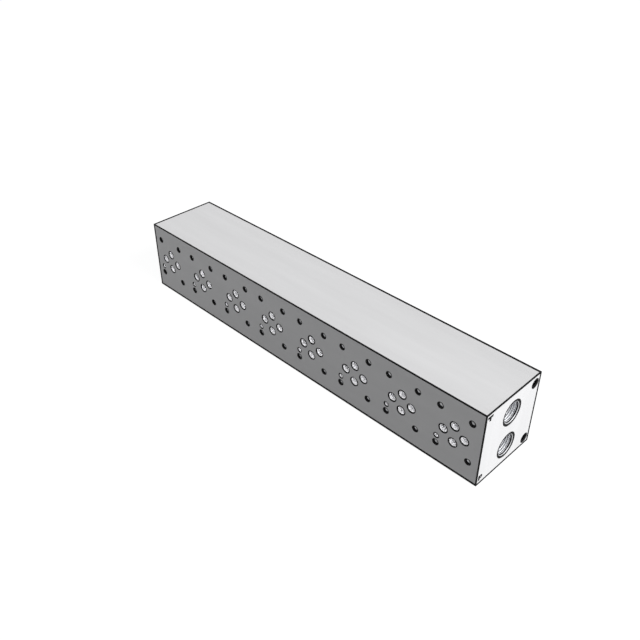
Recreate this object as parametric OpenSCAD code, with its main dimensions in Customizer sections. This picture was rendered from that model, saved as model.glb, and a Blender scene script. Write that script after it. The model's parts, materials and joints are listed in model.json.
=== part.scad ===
// Hydraulic manifold block: one machined bar that carries a row of directional valves in series.
// Millimetres. X runs along the bar, the valves sit on the front face at -Y, and +Z is up.
// The origin is the middle of the bottom face.

/* [Block] */
// Number of valve stations along the block
stations = 8; // [1:1:12]
// Distance from the middle of one station to the next
station_pitch = 53.975; // [50:0.025:70]
// Distance from the middle of the first and last station to the end faces
end_margin = 26.9875; // [25:0.0125:45]
// Distance from the valve face to the rear face
block_depth = 76.2; // [72:0.1:95]
// Distance from the bottom face to the top face
block_height = 76.2; // [72:0.1:110]
// Width of the small chamfer on the block's twelve edges
edge_break = 0.3; // [0.2:0.1:1.5]

/* [Valve pattern] */
// Height of the P and T openings above the block's mid height
port_row_rise = 1.36; // [-2:0.01:4]
// Distance between the P and T openings
port_span = 20.8; // [20:0.1:22]
// Height of the A opening above the P and T openings
a_port_rise = 8.8; // [8.4:0.1:9.2]
// Distance of the B opening below the P and T openings
b_port_drop = 8.7; // [8.4:0.1:9.2]
// Diameter of the four valve openings
valve_port_d = 7.4; // [6:0.1:7.5]
// Depth of the straight start of each valve opening
valve_port_depth = 6.5; // [5.5:0.1:9]
// Width of the broken edge round the valve openings and the pin hole
port_edge_break = 0.2; // [0.1:0.1:0.5]
// Height of the upper valve screws above the P and T openings
upper_screw_rise = 21.5; // [21:0.1:22]
// Distance between the two upper valve screws
upper_screw_span = 31; // [30.5:0.1:31.5]
// Distance of the lower valve screws below the P and T openings
lower_screw_drop = 19; // [18.5:0.1:19.5]
// Distance between the two lower valve screws
lower_screw_span = 32.5; // [32:0.1:33]
// Distance of the locating pin hole below the P and T openings
pin_drop = 11.5; // [11:0.1:12]
// Diameter of the locating pin hole
pin_d = 4; // [3:0.1:4.5]
// Depth of the locating pin hole
pin_depth = 5; // [4:0.1:8]

/* [Valve screw holes] */
// Tapping diameter, M5
valve_screw_tap = 4.2; // [3.8:0.1:4.5]
// Countersunk mouth diameter
valve_screw_mouth = 5.2; // [5:0.1:6.5]
// Full depth of the hole above its drill point
valve_screw_depth = 15; // [10:0.5:20]

/* [Galleries and passages] */
// Depth of the P and T galleries behind the valve face
gallery_depth = 38.1; // [34:0.1:42]
// Distance of each gallery from the block's mid height
gallery_offset = 17.8; // [17:0.1:22]
// Diameter of the P and T galleries
gallery_d = 15; // [10:0.5:16]
// Diameter of the inclined passages
passage_d = 7; // [5:0.1:7]
// Depth at which an inclined passage leaves its valve opening
passage_turn = 4; // [3.6:0.1:5]
// How far the two gallery links lean towards the middle of the block, to stay clear of the end ports
link_lean = 9; // [8:0.5:12]

/* [End ports] */
// Tapping diameter of the P and T ports on the end faces, G 1/2
end_port_tap = 19; // [18:0.1:20]
// Countersunk mouth diameter
end_port_mouth = 21.8; // [21:0.1:23]
// Depth of the tapped part
end_port_depth = 18; // [14:0.5:22]
// Depth of all countersinks in the end faces
end_sink_depth = 1; // [0.5:0.1:1.5]

/* [Rear ports] */
// Tapping diameter of the A and B ports on the rear face, G 3/8
rear_port_tap = 15.25; // [14:0.05:16]
// Countersunk mouth diameter
rear_port_mouth = 17.6; // [16.5:0.1:19]
// Depth of the tapped part
rear_port_depth = 14; // [12:0.5:16]
// Distance between the A and B ports of one station
rear_port_gap = 27; // [24:0.1:28]
// Distance of the rear ports below the block's mid height
rear_port_drop = 1; // [0:0.1:3]

/* [Gauge port] */
// Tapping diameter of the gauge port on the rear face, G 1/4
gauge_port_tap = 11.8; // [11:0.1:12]
// Countersunk mouth diameter
gauge_port_mouth = 13.8; // [13:0.1:14.5]
// Depth of the tapped part
gauge_port_depth = 13; // [11:0.5:16]
// Diameter of the drilling from the gauge port to the P gallery
gauge_drill_d = 5; // [3:0.1:8]

/* [Mounting holes] */
// Tapping diameter of the two mounting holes in each end face, M8
mount_tap = 6.8; // [6:0.1:7]
// Countersunk mouth diameter
mount_mouth = 8.2; // [8:0.1:9]
// Full depth of the hole above its drill point
mount_depth = 18; // [15:0.5:25]
// Distance of the mounting holes from the rear, top and bottom faces
mount_inset = 8; // [7:0.1:10]

/* [Hidden] */
$fn = 64;

// Point angle of a common twist drill
drill_point_angle = 118;
// Every cut runs this far past the face that it opens
overrun = 1;

block_length = station_pitch * (stations - 1) + 2 * end_margin;
end_x = block_length / 2;
front_y = -block_depth / 2;
rear_y = block_depth / 2;
mid_z = block_height / 2;

first_station_x = -end_x + end_margin;
last_station_x = end_x - end_margin;
port_row_z = mid_z + port_row_rise;
gallery_y = front_y + gallery_depth;
p_gallery_z = mid_z - gallery_offset;
t_gallery_z = mid_z + gallery_offset;
rear_port_z = mid_z - rear_port_drop;
turn_y = front_y + passage_turn;
valve_port_mouth = valve_port_d + 2 * port_edge_break;
pin_mouth = pin_d + 2 * port_edge_break;

// Height of the cone that a drill leaves at the bottom of a blind hole
function point_height(d) = d / 2 / tan(drill_point_angle / 2);

function station_x(i) = first_station_x + i * station_pitch;

// Rectangle with its four corners cut at 45 degrees
module chamfered_rectangle(width, height, cut) {
    w = width / 2;
    h = height / 2;
    polygon([
        [-w + cut, -h], [w - cut, -h], [w, -h + cut], [w, h - cut],
        [w - cut, h], [-w + cut, h], [-w, h - cut], [-w, -h + cut]
    ]);
}

// The sawn and milled bar before drilling, with every edge broken
module bar() {
    translate([0, 0, mid_z])
        intersection() {
            linear_extrude(block_height, center = true)
                chamfered_rectangle(block_length, block_depth, edge_break);
            rotate([90, 0, 0])
                linear_extrude(block_depth, center = true)
                    chamfered_rectangle(block_length, block_height, edge_break);
            rotate([90, 0, 90])
                linear_extrude(block_length, center = true)
                    chamfered_rectangle(block_depth, block_height, edge_break);
        }
}

// Places a cut on a face, with local +Z pointing out of the block
module on_front(x, z) {
    translate([x, front_y, z])
        rotate([90, 0, 0])
            children();
}

module on_rear(x, z) {
    translate([x, rear_y, z])
        rotate([-90, 0, 0])
            children();
}

// side is 1 for the right end and -1 for the left end
module on_end(side, y, z) {
    translate([side * end_x, y, z])
        rotate([0, side * 90, 0])
            children();
}

// Blind hole, its mouth at the origin: round wall, drill point and countersink.
// slope is the depth of the countersink over its width, and 1 is 45 degrees.
module blind_hole(d, mouth, depth, slope = 1) {
    sink = slope * (mouth - d) / 2;
    rotate_extrude()
        polygon([
            [0, -depth - point_height(d)], [d / 2, -depth], [d / 2, -sink],
            [mouth / 2 + overrun / slope, overrun], [0, overrun]
        ]);
}

// Blind hole in an end face, where every countersink has the same depth
module end_hole(d, mouth, depth) {
    blind_hole(d, mouth, depth, slope = end_sink_depth / (mouth - d) * 2);
}

// Round passage whose axis runs from one point to another
module passage(start, end, d) {
    way = end - start;
    translate(start)
        rotate([0, acos(way.z / norm(way)), atan2(way.y, way.x)])
            cylinder(d = d, h = norm(way));
}

// Screw holes, pin hole and the four openings of one valve station
module valve_pattern(x) {
    for (side = [-1, 1]) {
        on_front(x + side * upper_screw_span / 2, port_row_z + upper_screw_rise)
            blind_hole(valve_screw_tap, valve_screw_mouth, valve_screw_depth);
        on_front(x + side * lower_screw_span / 2, port_row_z - lower_screw_drop)
            blind_hole(valve_screw_tap, valve_screw_mouth, valve_screw_depth);
        on_front(x + side * port_span / 2, port_row_z)
            blind_hole(valve_port_d, valve_port_mouth, valve_port_depth);
    }
    for (rise = [a_port_rise, -b_port_drop])
        on_front(x, port_row_z + rise)
            blind_hole(valve_port_d, valve_port_mouth, valve_port_depth);
    on_front(x - lower_screw_span / 2, port_row_z - pin_drop)
        blind_hole(pin_d, pin_mouth, pin_depth);
}

// A leans left and B leans right, both between the two galleries, to their ports on the rear face
module working_ports(x) {
    for (side = [-1, 1]) {
        port_x = x + side * rear_port_gap / 2;
        rise = side < 0 ? a_port_rise : -b_port_drop;
        start = [x, turn_y, port_row_z + rise];
        on_rear(port_x, rear_port_z)
            blind_hole(rear_port_tap, rear_port_mouth, rear_port_depth);
        passage(start, [port_x, rear_y - rear_port_depth, rear_port_z], passage_d);
    }
}

// Two passages at 45 degrees that join the T opening of one station to the P opening of the next
module series_link(x) {
    t_x = x + port_span / 2;
    next_p_x = x + station_pitch - port_span / 2;
    half_gap = (next_p_x - t_x) / 2;
    meeting = [t_x + half_gap, turn_y + half_gap, port_row_z];
    passage([t_x, turn_y, port_row_z], meeting, passage_d);
    passage([next_p_x, turn_y, port_row_z], meeting, passage_d);
}

// Passage from a valve opening to a gallery; lean is how far it ends to the right of the opening
module gallery_link(x, lean, gallery_z) {
    passage([x, turn_y, port_row_z], [x + lean, gallery_y, gallery_z], passage_d);
}

// P and T galleries from end to end, with a tapped port at each end
module galleries() {
    for (z = [p_gallery_z, t_gallery_z]) {
        passage([-end_x - overrun, gallery_y, z], [end_x + overrun, gallery_y, z], gallery_d);
        for (side = [-1, 1])
            on_end(side, gallery_y, z)
                end_hole(end_port_tap, end_port_mouth, end_port_depth);
    }
}

// Gauge port at the first station, drilled through to the P gallery
module gauge_port() {
    on_rear(first_station_x, p_gallery_z)
        blind_hole(gauge_port_tap, gauge_port_mouth, gauge_port_depth);
    on_rear(first_station_x, p_gallery_z)
        blind_hole(gauge_drill_d, gauge_drill_d, rear_y - gallery_y);
}

// Two blind holes in each end face that hold the block to its bracket
module mounting_holes() {
    for (side = [-1, 1], z = [mount_inset, block_height - mount_inset])
        on_end(side, rear_y - mount_inset, z)
            end_hole(mount_tap, mount_mouth, mount_depth);
}

module manifold_block() {
    color([0.79, 0.8, 0.82])
        difference() {
            bar();
            for (i = [0:1:stations - 1]) {
                valve_pattern(station_x(i));
                working_ports(station_x(i));
            }
            for (i = [0:1:stations - 2])
                series_link(station_x(i));
            gallery_link(first_station_x - port_span / 2, link_lean, p_gallery_z);
            gallery_link(last_station_x + port_span / 2, -link_lean, t_gallery_z);
            galleries();
            gauge_port();
            mounting_holes();
        }
}

manifold_block();
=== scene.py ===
import json
import math

import bmesh
import bpy
from mathutils import Matrix, Vector


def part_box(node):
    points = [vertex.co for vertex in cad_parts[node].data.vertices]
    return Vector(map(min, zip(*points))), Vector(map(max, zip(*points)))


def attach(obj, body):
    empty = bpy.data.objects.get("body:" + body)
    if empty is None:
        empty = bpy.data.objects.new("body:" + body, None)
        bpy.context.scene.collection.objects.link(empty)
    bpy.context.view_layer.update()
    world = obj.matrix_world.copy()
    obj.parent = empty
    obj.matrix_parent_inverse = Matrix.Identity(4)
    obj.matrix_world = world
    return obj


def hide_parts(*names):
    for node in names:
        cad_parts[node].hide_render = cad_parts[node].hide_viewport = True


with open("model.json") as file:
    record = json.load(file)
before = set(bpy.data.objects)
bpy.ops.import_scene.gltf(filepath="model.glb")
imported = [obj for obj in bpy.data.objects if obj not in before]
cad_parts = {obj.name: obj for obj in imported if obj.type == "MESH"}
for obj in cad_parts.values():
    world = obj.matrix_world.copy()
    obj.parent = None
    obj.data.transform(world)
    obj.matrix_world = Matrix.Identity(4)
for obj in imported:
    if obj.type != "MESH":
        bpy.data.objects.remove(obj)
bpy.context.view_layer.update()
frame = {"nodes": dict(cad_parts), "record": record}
mm = 0.001
blockLow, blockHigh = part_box("manifold_block")
blockCentre = (blockLow + blockHigh) / 2


def addNode(tree, kind, inputs=None, **settings):  # an input takes a value or another node's socket
    made = tree.nodes.new(kind)
    for name, value in settings.items():
        setattr(made, name, value)
    for key, value in (inputs or {}).items():
        if isinstance(value, bpy.types.NodeSocket):
            tree.links.new(value, made.inputs[key])
        else:
            made.inputs[key].default_value = value
    return made


def linearColour(hexCode):  # sRGB hex to the linear values that shaders take
    channels = [int(hexCode[i:i + 2], 16) / 255 for i in (1, 3, 5)]
    return [c / 12.92 if c <= 0.04045 else ((c + 0.055) / 1.055) ** 2.4 for c in channels] + [1]


# Materials

milledLook = {
    "colour": "#CDCDCE",
    "metallic": 0.08,
    "specular": 0.2,          # little sheen, so that the lamps never clip the top
    "roughness": 0.65,
    "cutterRadius": 50 * mm,  # an 100 mm face mill covers the 76 mm bar in one pass
    "feed": 0.8 * mm,         # real marks lie about 0.2 mm apart
    "markHeight": 0.004 * mm,
    "streakLength": 160 * mm,
    "streakWidth": 14 * mm,
}


# Aluminium bar straight off the face mill: pale satin, with faint arcs where each tooth passed.
def milledAluminium(name, along, across):
    look = milledLook
    made = bpy.data.materials.new(name)
    made.use_nodes = True
    tree = made.node_tree
    tree.nodes.clear()
    place = addNode(tree, "ShaderNodeTexCoord").outputs["Object"]
    centred = addNode(tree, "ShaderNodeVectorMath", {0: place, 1: blockCentre}, operation="SUBTRACT").outputs[0]
    axes = addNode(tree, "ShaderNodeSeparateXYZ", {0: centred}).outputs
    squared = addNode(tree, "ShaderNodeMath", {0: axes[across], 1: 2.0}, operation="POWER").outputs[0]
    inside = addNode(tree, "ShaderNodeMath", {0: look["cutterRadius"] ** 2, 1: squared}, operation="SUBTRACT").outputs[0]
    arc = addNode(tree, "ShaderNodeMath", {0: inside}, operation="SQRT").outputs[0]
    travel = addNode(tree, "ShaderNodeMath", {0: axes[along], 1: arc}, operation="SUBTRACT").outputs[0]
    tooth = addNode(tree, "ShaderNodeMath", {0: travel, 1: look["feed"]}, operation="DIVIDE").outputs[0]
    within = addNode(tree, "ShaderNodeMath", {0: tooth}, operation="FRACT").outputs[0]
    offMiddle = addNode(tree, "ShaderNodeMath", {0: within, 1: 0.5}, operation="SUBTRACT").outputs[0]
    scallop = addNode(tree, "ShaderNodeMath", {0: offMiddle, 1: 2.0}, operation="POWER").outputs[0]
    bump = addNode(tree, "ShaderNodeBump", {"Strength": 1.0, "Distance": 4 * look["markHeight"], "Height": scallop})

    shrink = [1 / look["streakWidth"]] * 3
    shrink[along] = 1 / look["streakLength"]
    stretched = addNode(tree, "ShaderNodeMapping", {"Vector": place, "Scale": shrink}).outputs[0]
    streaks = addNode(tree, "ShaderNodeTexNoise", {"Vector": stretched, "Scale": 1.0, "Detail": 3.0}).outputs[0]
    tint = addNode(tree, "ShaderNodeMapRange", {"Value": streaks, "From Min": 0.3, "From Max": 0.7,
                                                "To Min": 0.96, "To Max": 1.03}).outputs[0]
    colour = addNode(tree, "ShaderNodeMix", {"Factor": 1.0, 6: linearColour(look["colour"]), 7: tint},
                     data_type="RGBA", blend_type="MULTIPLY").outputs[2]
    rough = addNode(tree, "ShaderNodeMapRange", {"Value": streaks, "From Min": 0.3, "From Max": 0.7,
                                                 "To Min": look["roughness"] - 0.04,
                                                 "To Max": look["roughness"] + 0.04}).outputs[0]
    shader = addNode(tree, "ShaderNodeBsdfPrincipled", {"Base Color": colour, "Metallic": look["metallic"],
                                                        "Specular IOR Level": look["specular"],
                                                        "Roughness": rough, "Normal": bump.outputs[0]})
    addNode(tree, "ShaderNodeOutputMaterial", {"Surface": shader.outputs[0]})
    return made


# A plain finish with a little cloudiness, for cut surfaces that are too small for tool marks to show
def cutMetal(name, colour, metallic, roughness, specular=0.5, cloud=6 * mm):
    made = bpy.data.materials.new(name)
    made.use_nodes = True
    tree = made.node_tree
    tree.nodes.clear()
    place = addNode(tree, "ShaderNodeTexCoord").outputs["Object"]
    noise = addNode(tree, "ShaderNodeTexNoise", {"Vector": place, "Scale": 1 / cloud, "Detail": 2.0}).outputs[0]
    rough = addNode(tree, "ShaderNodeMapRange", {"Value": noise, "To Min": roughness - 0.05,
                                                 "To Max": roughness + 0.05}).outputs[0]
    shader = addNode(tree, "ShaderNodeBsdfPrincipled", {"Base Color": linearColour(colour), "Metallic": metallic,
                                                        "Specular IOR Level": specular, "Roughness": rough})
    addNode(tree, "ShaderNodeOutputMaterial", {"Surface": shader.outputs[0]})
    return made


# Thread flanks from the tap: bright on the crests, with painted shade darker in the roots and darkest
# at the mouth. The mesh carries 0, 1 and 2 for the three.
def threadMetal(name, crest, root, mouth, roughness):
    made = bpy.data.materials.new(name)
    made.use_nodes = True
    tree = made.node_tree
    tree.nodes.clear()
    shade = addNode(tree, "ShaderNodeAttribute", attribute_name="threadShade").outputs["Fac"]
    flank = addNode(tree, "ShaderNodeMix", {"Factor": shade, 6: linearColour(crest), 7: linearColour(root)},
                    data_type="RGBA").outputs[2]
    # painted shade: past the root value the flank darkens to the mouth colour
    pastRoot = addNode(tree, "ShaderNodeMath", {0: shade, 1: 1.0}, operation="SUBTRACT").outputs[0]
    colour = addNode(tree, "ShaderNodeMix", {"Factor": pastRoot, 6: flank, 7: linearColour(mouth)},
                     data_type="RGBA").outputs[2]
    shader = addNode(tree, "ShaderNodeBsdfPrincipled", {"Base Color": colour, "Metallic": 1.0,
                                                        "Roughness": roughness})
    addNode(tree, "ShaderNodeOutputMaterial", {"Surface": shader.outputs[0]})
    return made


finishes = {
    "end": milledAluminium("milledEnds", 2, 1),
    "side": milledAluminium("milledValveAndRearFace", 0, 2),
    "top": milledAluminium("milledTopAndBottom", 0, 1),
    "rim": cutMetal("edgesPaintedDark", "#0A0A0B", 0.0, 0.7, specular=0.1),  # deburred edges and the lines beside them, black: painted shade, drawn as outlines
    "sink": cutMetal("countersinks", "#B4B5B7", 0.6, 0.4),              # bright cones from the countersink
    "bore": cutMetal("drilledBores", "#FAFAFB", 1.0, 0.9),              # drilled walls, rough; bright fresh-cut metal, and whiter than the milled faces as painted light inside the holes
    # the root and mouth colours of the threads are painted shade
    "screwThread": threadMetal("tappedScrewHoles", "#E2E3E5", "#66676A", "#050506", 0.4),
    "portThread": threadMetal("tappedPorts", "#E2E3E5", "#C8C9CC", "#050506", 0.55),
    "paint": cutMetal("letterPaint", "#08080A", 0.0, 0.7, specular=0.1),  # black fill of the stamped letters
}
slotOrder = list(finishes)
print("materials ready:", len(finishes))


# The block's mesh: a merged copy of the frame's solid, its faces sorted by how they were cut

# painted shade: black lines along the block's edges, round its mouths, on countersink borders and at bore lips
mouths = {
    "edgeLine": 0.8 * mm,   # painted dark line, painted shade, beside every edge of the block
    "farLine": 2.4 * mm,    # the same line on the far borders of the three sides that meet at shownCorner
    "shownCorner": Vector((1, -1, 1)),
    "mouthLine": 0.5 * mm,  # the same line round a mouth is this wide, and wider by a share of the mouth
    "mouthShare": 0.06,
    "widestLine": 1.8 * mm,
    "sinkLine": 0.5 * mm,   # and on both borders of a wide countersink
    "wideSink": 1.3 * mm,   # countersinks wider than this show their metal between such lines
    "deepestSink": 1.2 * mm,
    "lip": 0.5 * mm,        # painted shade at the start of a plain bore's wall
}
skin = 0.01 * mm


def gapsTo(place):  # distance to the nearer of the block's two sides, along each axis
    return [min(place[i] - blockLow[i], blockHigh[i] - place[i]) for i in range(3)]


def cutOf(face):
    gaps = gapsTo(face.calc_center_median())
    tilt = [abs(x) for x in face.normal]
    for axis, name in enumerate(("end", "side", "top")):
        if gaps[axis] < skin and tilt[axis] > 0.999:
            return name
    if sum(gap < mouths["deepestSink"] for gap in gaps) > 1:
        return "rim"  # the chamfers on the block's own edges
    for axis in range(3):
        if gaps[axis] < mouths["deepestSink"] and 0.3 < tilt[axis] < 0.95:
            depths = [gapsTo(v.co)[axis] for v in face.verts]
            width = (max(depths) - min(depths)) / math.sqrt(1 - tilt[axis] ** 2)
            return "sink" if width > mouths["wideSink"] else "rim"
    return "bore"


def blockBody():
    body = bmesh.new()
    body.from_mesh(frame["nodes"]["manifold_block"].data)
    bmesh.ops.remove_doubles(body, verts=body.verts, dist=0.001 * mm)
    for face in body.faces:
        face.material_index = slotOrder.index(cutOf(face))
    return body


letters = {  # across and up the right end face, which is seen with the valve face at its left
    "stroke": 2.5 * mm,
    "depth": 0.4 * mm,
    "fromValveFace": 1.8 * mm,
    "tank": {"foot": blockHigh.z - 8.2 * mm, "width": 7.0 * mm, "height": 5.6 * mm},
    "pressure": {"foot": blockLow.z + 4.6 * mm, "width": 5.7 * mm, "height": 5.8 * mm, "bowl": 4.2 * mm},
}


def tankLetter():
    look, stroke = letters["tank"], letters["stroke"]
    left = blockLow.y + letters["fromValveFace"]
    right, middle = left + look["width"], left + look["width"] / 2
    top = look["foot"] + look["height"]
    return [[(left, top - stroke), (middle - stroke / 2, top - stroke), (middle - stroke / 2, look["foot"]),
             (middle + stroke / 2, look["foot"]), (middle + stroke / 2, top - stroke), (right, top - stroke),
             (right, top), (left, top)]]


def pressureLetter():  # its outline, and the outline of the hollow in its bowl
    look, stroke = letters["pressure"], letters["stroke"]
    left, top = blockLow.y + letters["fromValveFace"], look["foot"] + look["height"]
    stem, outer = left + stroke, look["bowl"] / 2
    inner = outer - stroke * 0.7
    round_ = [math.radians(angle) for angle in range(-90, 91, 15)]
    centre = (left + look["width"] - outer, top - outer)
    outline = [(left, look["foot"]), (stem, look["foot"]), (stem, centre[1] - outer)]
    outline += [(centre[0] + outer * math.cos(a), centre[1] + outer * math.sin(a)) for a in round_] + [(left, top)]
    hollow = [(stem, centre[1] - inner)]
    hollow += [(centre[0] + inner * math.cos(a), centre[1] + inner * math.sin(a)) for a in round_]
    return [outline, hollow + [(stem, centre[1] + inner)]]


def edgeLoop(body, outline):  # a closed line in the right end face
    corners = [body.verts.new((blockHigh.x, y, z)) for y, z in outline]
    return [body.edges.new(pair) for pair in zip(corners, corners[1:] + corners[:1])]


def fillFlat(body, edges, slot):
    for made in bmesh.ops.triangle_fill(body, use_beauty=True, edges=edges)["geom"]:
        if isinstance(made, bmesh.types.BMFace):
            made.material_index = slotOrder.index(slot)


def strip(body, edges, move, slot):  # a strip of new faces beside the edges; returns its far edges
    made = bmesh.ops.extrude_edge_only(body, edges=edges)["geom"]
    moved = {item for item in made if isinstance(item, bmesh.types.BMVert)}
    for v in moved:
        v.co = move(v.co)
    for item in made:
        if isinstance(item, bmesh.types.BMFace):
            item.material_index = slotOrder.index(slot)
    return [item for item in made if isinstance(item, bmesh.types.BMEdge) and set(item.verts) <= moved]


def joinedRuns(edges):  # the edges sorted into closed runs
    left, runs = dict.fromkeys(edges), []
    while left:
        run, ahead = [], [left.popitem()[0]]
        while ahead:
            edge = ahead.pop()
            run.append(edge)
            for touching in (e for v in edge.verts for e in v.link_edges if e in left):
                del left[touching]
                ahead.append(touching)
        runs.append(run)
    return runs


def sunk(place):
    return place - Vector((letters["depth"], 0, 0))


# Each milled side gets a narrow line of painted shade inside its border and round its mouths, and the rest is filled
# again.
# On the right end, the letters' outlines are part of that filling.
def lineSides(body):
    for axis, slot in enumerate(("end", "side", "top")):
        for corner in (blockLow, blockHigh):
            flat = [f for f in body.faces if f.material_index == slotOrder.index(slot)
                    and abs(f.calc_center_median()[axis] - corner[axis]) < skin]
            inFlat = set(flat)
            isShown = (corner[axis] - blockCentre[axis]) * mouths["shownCorner"][axis] > 0
            border = dict.fromkeys(e for f in flat for e in f.edges if not inFlat.issuperset(e.link_faces))
            bmesh.ops.delete(body, geom=flat, context="FACES")
            inner = []
            for run in joinedRuns(border):
                places = [v.co for e in run for v in e.verts]
                low, high = (Vector(pick(p[i] for p in places) for i in range(3)) for pick in (min, max))
                middle = (low + high) / 2
                line = min(mouths["widestLine"], mouths["mouthLine"] + mouths["mouthShare"] * max(high - low))

                def roundMouth(place):
                    return place + (place - middle).normalized() * line

                def insideBorder(place):
                    moved = place.copy()
                    for i in (i for i in range(3) if i != axis):
                        nearSide = (place[i] - middle[i]) * mouths["shownCorner"][i] > 0
                        width = mouths["farLine"] if isShown and not nearSide else mouths["edgeLine"]
                        moved[i] += math.copysign(width, middle[i] - place[i])
                    return moved

                isBorder = (high - low).length > (blockHigh - blockLow).length / 5
                inner += strip(body, run, insideBorder if isBorder else roundMouth, "rim")
            if slot == "end" and corner is blockHigh:
                tank, (bowl, hollow) = ([edgeLoop(body, o) for o in letter()] for letter in (tankLetter, pressureLetter))
                fillFlat(body, inner + tank[0] + bowl, slot)
                fillFlat(body, hollow, slot)
                fillFlat(body, strip(body, tank[0] + bowl + hollow, sunk, "paint"), "paint")
            else:
                fillFlat(body, inner, slot)


# Painted shade: a dark line on both borders of each wide countersink
def lineSinks(body):
    wide = [f for f in body.faces if f.material_index == slotOrder.index("sink")]
    rim = bmesh.ops.inset_region(body, faces=wide, thickness=mouths["sinkLine"], use_boundary=True,
                                 use_even_offset=True)["faces"]
    for face in rim:
        face.material_index = slotOrder.index("rim")


body = blockBody()
lineSides(body)
lineSinks(body)
print("sides, mouths and letters drawn:", len(body.faces), "faces, open edges:", sum(not e.is_manifold for e in body.edges))


# Threads

threadSizes = {  # tapping and major diameter, pitch, threaded length, dark start of the painted mouth shade; points on each crest and root
    "M5": {"tap": 4.2 * mm, "major": 5.0 * mm, "pitch": 0.8 * mm, "length": 9.6 * mm, "darkStart": 1.8 * mm,
           "flats": 1, "finish": "screwThread"},
    "M8": {"tap": 6.8 * mm, "major": 8.0 * mm, "pitch": 1.25 * mm, "length": 16.3 * mm, "darkStart": 1.7 * mm,
           "flats": 2, "finish": "screwThread"},
    "G14": {"tap": 11.8 * mm, "major": 13.157 * mm, "pitch": 1.337 * mm, "length": 10.7 * mm,
            "darkStart": 0.9 * mm, "flats": 1, "finish": "portThread"},
    "G38": {"tap": 15.25 * mm, "major": 16.662 * mm, "pitch": 1.337 * mm, "length": 12.0 * mm,
            "darkStart": 0.9 * mm, "flats": 1, "finish": "portThread"},
    "G12": {"tap": 19.0 * mm, "major": 20.955 * mm, "pitch": 1.814 * mm, "length": 15.4 * mm,
            "darkStart": 1.0 * mm, "flats": 2, "finish": "portThread"},
}


threadStart = Vector((1, 0, 0.3))  # every thread starts at the side of its mouth that lies this way


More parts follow.
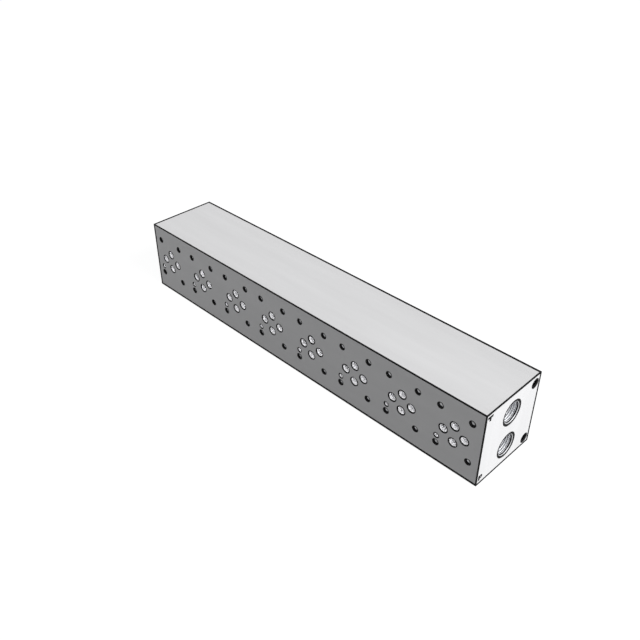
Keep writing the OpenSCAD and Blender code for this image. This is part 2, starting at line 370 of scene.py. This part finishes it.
# Grid rows follow the helix, and are held at both ends so that the wall closes in two plain rings.
def threadTree():
    tree = bpy.data.node_groups.new("tappedThread", "GeometryNodeTree")
    for name, kind in (("Holes", "Geometry"), ("Tapping Radius", "Float"), ("Major Radius", "Float"),
                       ("Pitch", "Float"), ("Thread Length", "Float"), ("Wall Length", "Float"),
                       ("Dark Start", "Float"),
                       ("Columns", "Int"), ("Flats", "Int"), ("Metal", "Material")):
        tree.interface.new_socket(name=name, in_out="INPUT", socket_type="NodeSocket" + kind)
    tree.interface.new_socket(name="Threads", in_out="OUTPUT", socket_type="NodeSocketGeometry")
    given = addNode(tree, "NodeGroupInput").outputs

    def calc(operation, *values):
        return addNode(tree, "ShaderNodeMath", dict(enumerate(values)), operation=operation).outputs[0]

    rowsPerTurn = calc("MULTIPLY", given["Flats"], 2.0)
    turns = calc("ADD", calc("CEIL", calc("DIVIDE", given["Thread Length"], given["Pitch"])), 1.0)
    lastRow = calc("ADD", calc("MULTIPLY", rowsPerTurn, turns), 1.0)
    grid = addNode(tree, "GeometryNodeMeshGrid", {"Size X": 1.0, "Size Y": 1.0,
                                                  "Vertices X": calc("ADD", given["Columns"], 1.0),
                                                  "Vertices Y": calc("ADD", lastRow, 1.0)})
    place = addNode(tree, "ShaderNodeSeparateXYZ", {0: addNode(tree, "GeometryNodeInputPosition").outputs[0]}).outputs
    around = calc("ADD", place[0], 0.5)
    row = calc("ROUND", calc("MULTIPLY", calc("ADD", place[1], 0.5), lastRow))

    turn = calc("FLOOR", calc("DIVIDE", calc("ADD", row, 0.01), rowsPerTurn))
    inTurn = calc("SUBTRACT", row, calc("MULTIPLY", turn, rowsPerTurn))
    isRoot = calc("FLOOR", calc("DIVIDE", calc("ADD", inTurn, 0.01), given["Flats"]))
    onFlat = calc("SUBTRACT", inTurn, calc("MULTIPLY", isRoot, given["Flats"]))
    share = calc("ADD", calc("MULTIPLY", isRoot, 0.5), calc("MULTIPLY", onFlat, 0.2))  # crest, flank, root, flank
    free = calc("MULTIPLY", calc("SUBTRACT", calc("ADD", turn, share), around), given["Pitch"])
    held = addNode(tree, "ShaderNodeClamp", {"Value": free, "Min": 0.0, "Max": given["Thread Length"]}).outputs[0]
    isLast = calc("GREATER_THAN", row, calc("SUBTRACT", lastRow, 0.5))
    plainStretch = calc("SUBTRACT", given["Wall Length"], given["Thread Length"])
    depth = calc("ADD", held, calc("MULTIPLY", isLast, plainStretch))

    runIn = calc("MINIMUM", calc("DIVIDE", held, calc("MULTIPLY", given["Pitch"], 0.4)), 1.0)
    left = calc("DIVIDE", calc("SUBTRACT", given["Thread Length"], held), given["Pitch"])
    runOut = calc("MINIMUM", calc("MAXIMUM", left, 0.0), 1.0)
    cut = calc("MULTIPLY", calc("MULTIPLY", runIn, runOut), isRoot)
    groove = calc("MULTIPLY", cut, calc("SUBTRACT", given["Major Radius"], given["Tapping Radius"]))
    radius = calc("ADD", given["Tapping Radius"], groove)
    angle = calc("MULTIPLY", around, 2 * math.pi)
    spot = addNode(tree, "ShaderNodeCombineXYZ", {0: calc("MULTIPLY", radius, calc("COSINE", angle)),
                                                  1: calc("MULTIPLY", radius, calc("SINE", angle)),
                                                  2: calc("MULTIPLY", depth, -1.0)}).outputs[0]
    # painted shade at the mouth: 2 or more for the first three quarters of Dark Start, then fading out
    fromMouth = calc("SUBTRACT", 1.0, calc("DIVIDE", held, given["Dark Start"]))
    shade = calc("ADD", cut, calc("MULTIPLY", calc("MAXIMUM", fromMouth, 0.0), 8.0))
    marked = addNode(tree, "GeometryNodeStoreNamedAttribute", {"Geometry": grid.outputs[0], "Name": "threadShade",
                                                               "Value": shade},
                     data_type="FLOAT", domain="POINT").outputs[0]  # before the rows move, as it reads their places
    wound = addNode(tree, "GeometryNodeSetPosition", {"Geometry": marked, "Position": spot}).outputs[0]
    closed = addNode(tree, "GeometryNodeMergeByDistance", {"Geometry": wound, "Distance": 0.002 * mm}).outputs[0]
    turnedTo = addNode(tree, "GeometryNodeInputNamedAttribute", {"Name": "turnedTo"}, data_type="FLOAT_VECTOR")
    rotation = addNode(tree, "FunctionNodeEulerToRotation", {0: turnedTo.outputs[0]}).outputs[0]
    copies = addNode(tree, "GeometryNodeInstanceOnPoints", {"Points": given["Holes"], "Instance": closed,
                                                            "Rotation": rotation}).outputs[0]
    real = addNode(tree, "GeometryNodeRealizeInstances", {0: copies}).outputs[0]
    finished = addNode(tree, "GeometryNodeSetMaterial", {"Geometry": real, "Material": given["Metal"]}).outputs[0]
    addNode(tree, "NodeGroupOutput", {0: finished})
    return tree


def evaluatedMesh(obj, name):  # the object's mesh with its modifiers in it
    graph = bpy.context.evaluated_depsgraph_get()
    made = bpy.data.meshes.new_from_object(obj.evaluated_get(graph), depsgraph=graph)
    made.name = name
    return made


# Each tapped hole that the record's mounts name: a point on its axis, the axis, and how far its wall can lie
def tappedHoles():
    found = []
    for mount in frame["record"]["mounts"]:
        point, axis, dims = Vector(mount["pos_m"]), Vector(mount["axis"]), mount["dims"]
        if mount["kind"] == "threaded_hole":
            found.append((point, axis, dims["r_mm"] * mm, dims["length_mm"] * mm * 0.51))
        elif mount["kind"] == "bolt_pattern" and "spacing_x_mm" in dims:
            for side in (-0.5, 0.5):
                spot = point + Vector((side * dims["spacing_x_mm"] * mm, 0, 0))
                found.append((spot, axis, dims["hole_r_mm"] * mm, 16 * mm))
    return found


def cutThreads(body):
    tree = threadTree()
    holesBySize = {key: [] for key in threadSizes}
    for point, axis, radius, reach in tappedHoles():
        size = next(k for k, v in threadSizes.items() if abs(v["tap"] / 2 - radius) < 0.02 * mm)
        ring = {}
        for v in body.verts:
            along = (v.co - point).dot(axis)
            if abs(along) < reach and abs((v.co - point - along * axis).length - radius) < 0.003 * mm:
                ring[v] = along
        mouth, bottom = max(ring.values()), min(ring.values())
        atMouth = [v for v in ring if ring[v] > mouth - 0.01 * mm]
        atBottom = [v for v in ring if ring[v] < bottom + 0.01 * mm]
        if len(ring) != len(atMouth) + len(atBottom) or len(atMouth) != len(atBottom):
            print("left plain, its wall is cut by another hole:", size, [round(x / mm, 1) for x in point])
            continue
        wall = {f for v in ring for f in v.link_faces if all(corner in ring for corner in f.verts)}
        bmesh.ops.delete(body, geom=list(wall), context="FACES")
        start = max(atMouth, key=lambda v: (v.co - point).dot(threadStart))
        outward = (start.co - point - mouth * axis).normalized()
        turn = Matrix((outward, axis.cross(outward), axis)).transposed()
        holesBySize[size].append((point + mouth * axis, turn.to_euler(), mouth - bottom, len(atMouth)))

    for key, holes in holesBySize.items():
        if not holes:
            continue
        size = threadSizes[key]
        points = bpy.data.meshes.new("holes" + key)
        points.from_pydata([h[0] for h in holes], [], [])
        turnedTo = points.attributes.new("turnedTo", "FLOAT_VECTOR", "POINT")
        for i, hole in enumerate(holes):
            turnedTo.data[i].vector = hole[1]
        carrier = bpy.data.objects.new("holes" + key, points)
        bpy.context.scene.collection.objects.link(carrier)
        modifier = carrier.modifiers.new("thread", "NODES")
        modifier.node_group = tree
        values = {"Tapping Radius": size["tap"] / 2, "Major Radius": size["major"] / 2, "Pitch": size["pitch"],
                  "Thread Length": size["length"], "Wall Length": holes[0][2], "Columns": holes[0][3],
                  "Dark Start": size["darkStart"],
                  "Flats": size["flats"], "Metal": finishes[size["finish"]]}
        for socket in tree.interface.items_tree:
            if socket.name in values:
                modifier[socket.identifier] = values[socket.name]
        bpy.context.view_layer.update()
        threads = evaluatedMesh(carrier, "threads" + key)
        bpy.data.objects.remove(carrier)
        threads.polygons.foreach_set("material_index", [slotOrder.index(size["finish"])] * len(threads.polygons))
        body.from_mesh(threads)
        print("threads", key, len(holes), "holes,", len(threads.polygons), "faces")

    openVerts = [v for v in body.verts if v.is_boundary]
    bmesh.ops.remove_doubles(body, verts=openVerts, dist=0.005 * mm)


# Painted shade: the first half millimetre of each plain bore's wall is painted as dark as its broken edge
def paintShadeInBoreLips(body):
    rim, bore = slotOrder.index("rim"), slotOrder.index("bore")
    for axis in range(3):
        for corner, inward in ((blockLow, 1), (blockHigh, -1)):
            mouthEdges = [e for e in body.edges if {f.material_index for f in e.link_faces} == {rim, bore}
                          and abs(sum(v.co[axis] for v in e.verts) / 2 - corner[axis]) < mouths["deepestSink"]]
            walls = {f for e in mouthEdges for v in e.verts for f in v.link_faces if f.material_index == bore}
            if not walls:
                continue
            starts = {round(e.verts[0].co[axis] / skin) * skin for e in mouthEdges}
            for start in starts:
                cutAt = Vector((0, 0, 0))
                cutAt[axis] = start + inward * mouths["lip"]
                across = Vector((0, 0, 0))
                across[axis] = 1
                geom = list(walls) + list({e for f in walls for e in f.edges}) + list({v for f in walls for v in f.verts})
                cut = bmesh.ops.bisect_plane(body, geom=geom, plane_co=cutAt, plane_no=across)["geom"]
                for face in cut:
                    if isinstance(face, bmesh.types.BMFace):
                        deepest = max(abs(v.co[axis] - start) for v in face.verts)
                        if deepest < mouths["lip"] + skin:
                            face.material_index = rim


def blockObject(body):
    bmesh.ops.recalc_face_normals(body, faces=body.faces)
    mesh = bpy.data.meshes.new("manifold_block_machined")
    body.to_mesh(mesh)
    for name in ("custom_normal", "turnedTo"):  # the frame's flat normals, and what only the threads' points need
        mesh.attributes.remove(mesh.attributes[name])
    for key in slotOrder:
        mesh.materials.append(finishes[key])
    mesh.shade_smooth()
    mesh.set_sharp_from_angle(angle=math.radians(30))
    made = bpy.data.objects.new("manifold_block_machined", mesh)
    bpy.context.scene.collection.objects.link(made)
    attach(made, "root")
    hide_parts("manifold_block")
    return made


cutThreads(body)
paintShadeInBoreLips(body)
block = blockObject(body)
print("block finished:", len(body.faces), "faces,", sum(len(f.verts) - 2 for f in body.faces), "triangles, open edges:",
      sum(not e.is_manifold for e in body.edges), "volume mm3:", round(body.calc_volume() / mm ** 3))
body.free()


# Floor, light and camera

floorLook = {
    "size": 12.0,
    "below": 0.2 * mm,  # just under the block, so that the two faces don't coincide
    "colour": "#555657",
    "glow": 0.95,       # what cameras and reflections see
}


def paleFloor():
    mesh = bpy.data.meshes.new("floor")
    half = floorLook["size"] / 2
    low = -floorLook["below"]
    mesh.from_pydata([(-half, -half, low), (half, -half, low), (half, half, low), (-half, half, low)], [],
                     [(0, 1, 2, 3)])
    made = bpy.data.objects.new("floor", mesh)
    bpy.context.scene.collection.objects.link(made)
    paint = bpy.data.materials.new("paleFloor")
    paint.use_nodes = True
    tree = paint.node_tree
    tree.nodes.clear()
    rays = addNode(tree, "ShaderNodeLightPath").outputs
    seen = addNode(tree, "ShaderNodeMath", {0: rays["Is Camera Ray"], 1: rays["Is Glossy Ray"]},
                   operation="MAXIMUM").outputs[0]
    seen = addNode(tree, "ShaderNodeMath", {0: seen, 1: rays["Is Transmission Ray"]}, operation="MAXIMUM").outputs[0]
    glow = addNode(tree, "ShaderNodeMath", {0: seen, 1: floorLook["glow"]}, operation="MULTIPLY").outputs[0]
    matt = addNode(tree, "ShaderNodeBsdfDiffuse", {"Color": linearColour(floorLook["colour"])})
    light = addNode(tree, "ShaderNodeEmission", {"Strength": glow})
    both = addNode(tree, "ShaderNodeAddShader", {0: matt.outputs[0], 1: light.outputs[0]}).outputs[0]
    underside = addNode(tree, "ShaderNodeNewGeometry").outputs["Backfacing"]  # clear from below
    clear = addNode(tree, "ShaderNodeBsdfTransparent").outputs[0]
    surface = addNode(tree, "ShaderNodeMixShader", {0: underside, 1: both, 2: clear}).outputs[0]
    addNode(tree, "ShaderNodeOutputMaterial", {"Surface": surface})
    made.data.materials.append(paint)


def studioWorld():
    world = bpy.data.worlds.new("studio")
    bpy.context.scene.world = world
    world.use_nodes = True
    tree = world.node_tree
    tree.nodes.clear()
    rays = addNode(tree, "ShaderNodeLightPath").outputs
    seen = addNode(tree, "ShaderNodeMath", {0: rays["Is Camera Ray"], 1: rays["Is Glossy Ray"]},
                   operation="MAXIMUM").outputs[0]
    seen = addNode(tree, "ShaderNodeMath", {0: seen, 1: rays["Is Transmission Ray"]}, operation="MAXIMUM").outputs[0]
    strength = addNode(tree, "ShaderNodeMapRange", {"Value": seen, "To Min": 0.1, "To Max": 1.0}).outputs[0]
    sky = addNode(tree, "ShaderNodeBackground", {"Strength": strength})
    sky.inputs["Color"].default_value = (1, 1, 1, 1)
    addNode(tree, "ShaderNodeOutputWorld", {"Surface": sky.outputs[0]})


lamps = {  # square area lamps: direction from the block, distance, width and power
    "key": {"towards": (0.829, 0.15, 0.539), "distance": 10.0, "size": 5.7, "power": 1540},
    "fill": {"towards": (1.0, -0.6, 1.0), "distance": 3.0, "size": 1.0, "power": 27},
    "left": {"towards": (-0.9, -0.6, 0.5), "distance": 1.2, "size": 0.6, "power": 2.2},
}


def softLamps():
    for name, values in lamps.items():
        data = bpy.data.lights.new(name, "AREA")
        data.size = values["size"]
        data.energy = values["power"]
        lamp = bpy.data.objects.new(name, data)
        bpy.context.scene.collection.objects.link(lamp)
        direction = Vector(values["towards"]).normalized()
        lamp.location = blockCentre + direction * values["distance"]
        lamp.rotation_euler = (-direction).to_track_quat("-Z", "Y").to_euler()


cameraSpot = {
    "distance": 0.4269 * math.sqrt(3),  # it looks along a cube's diagonal at the middle of the block
    "focal": 760.7,                     # in pixels of a picture 640 pixels wide
    "width": 640,
    "sensor": 36.0,
}


def placeCamera():
    data = bpy.data.cameras.new("camera")
    data.sensor_width = cameraSpot["sensor"]
    data.lens = cameraSpot["focal"] * cameraSpot["sensor"] / cameraSpot["width"]
    made = bpy.data.objects.new("camera", data)
    bpy.context.scene.collection.objects.link(made)
    direction = Vector((1, -1, 1)).normalized()
    made.location = blockCentre + direction * cameraSpot["distance"]
    made.rotation_euler = (-direction).to_track_quat("-Z", "Y").to_euler()
    bpy.context.scene.camera = made


paleFloor()
studioWorld()
softLamps()
placeCamera()
bpy.context.scene.view_settings.view_transform = "Standard"
print("floor, lamps and camera ready")
